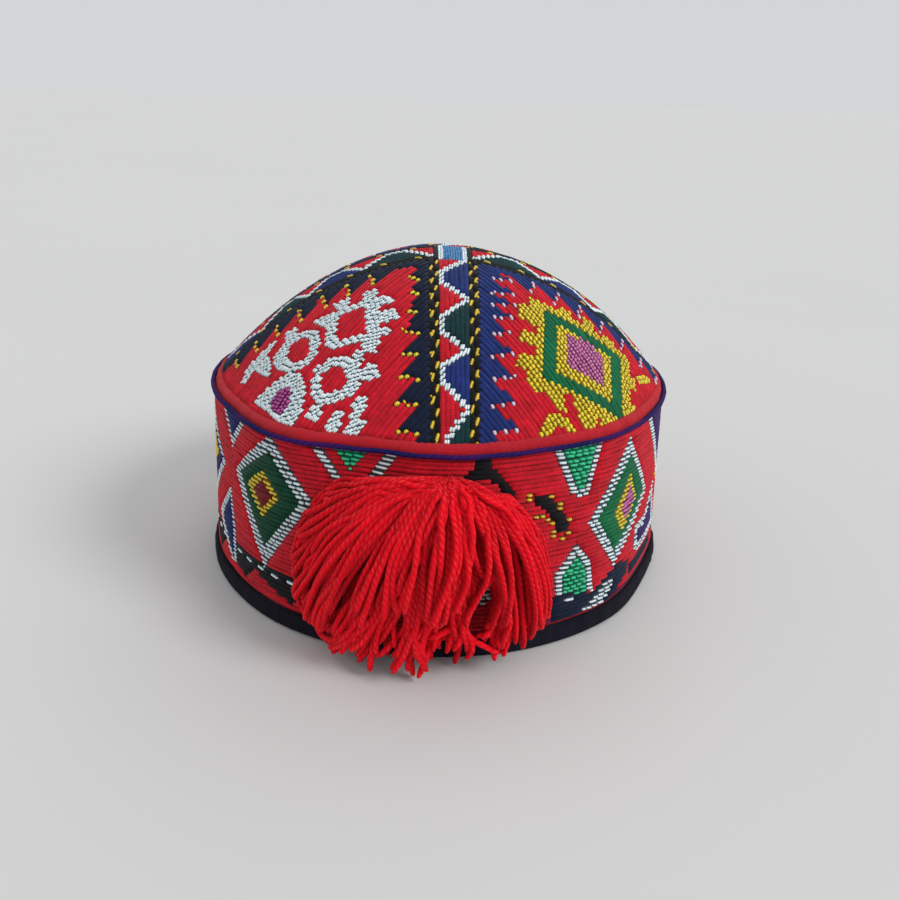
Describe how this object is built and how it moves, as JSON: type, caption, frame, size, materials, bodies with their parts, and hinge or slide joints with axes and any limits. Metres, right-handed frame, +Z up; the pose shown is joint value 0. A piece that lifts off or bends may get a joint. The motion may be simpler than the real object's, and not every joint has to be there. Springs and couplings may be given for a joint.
{
  "type": "tubeteika skullcap with tassel",
  "caption": "Round embroidered skullcap with a domed crown, upright padded band, corded seam, dark bound edge and a red yarn tassel hanging at the front.",
  "frame": {"origin": "on the cap's axis, in the plane of its bottom edge, at the centre of the head opening", "axes": "+Z up along the cap's axis, -Y towards the front where the tassel hangs, +X to the right seen from the front"},
  "size_m": [0.1936, 0.2148, 0.128],
  "materials": {
    "crown_cloth": "ribbed crimson cotton with coloured and metallic embroidery",
    "band_cloth": "ribbed crimson cotton with coloured and metallic embroidery",
    "seam_cord": "violet twisted cord",
    "binding_cloth": "dark brushed cloth",
    "tassel_yarn": "bright red plied yarn"
  },
  "bodies": {
    "root": {"crown": "crown_cloth", "band": "band_cloth", "seam_cord": "seam_cord", "hem_binding": "binding_cloth", "tassel": "tassel_yarn"}
  },
  "joints": []
}
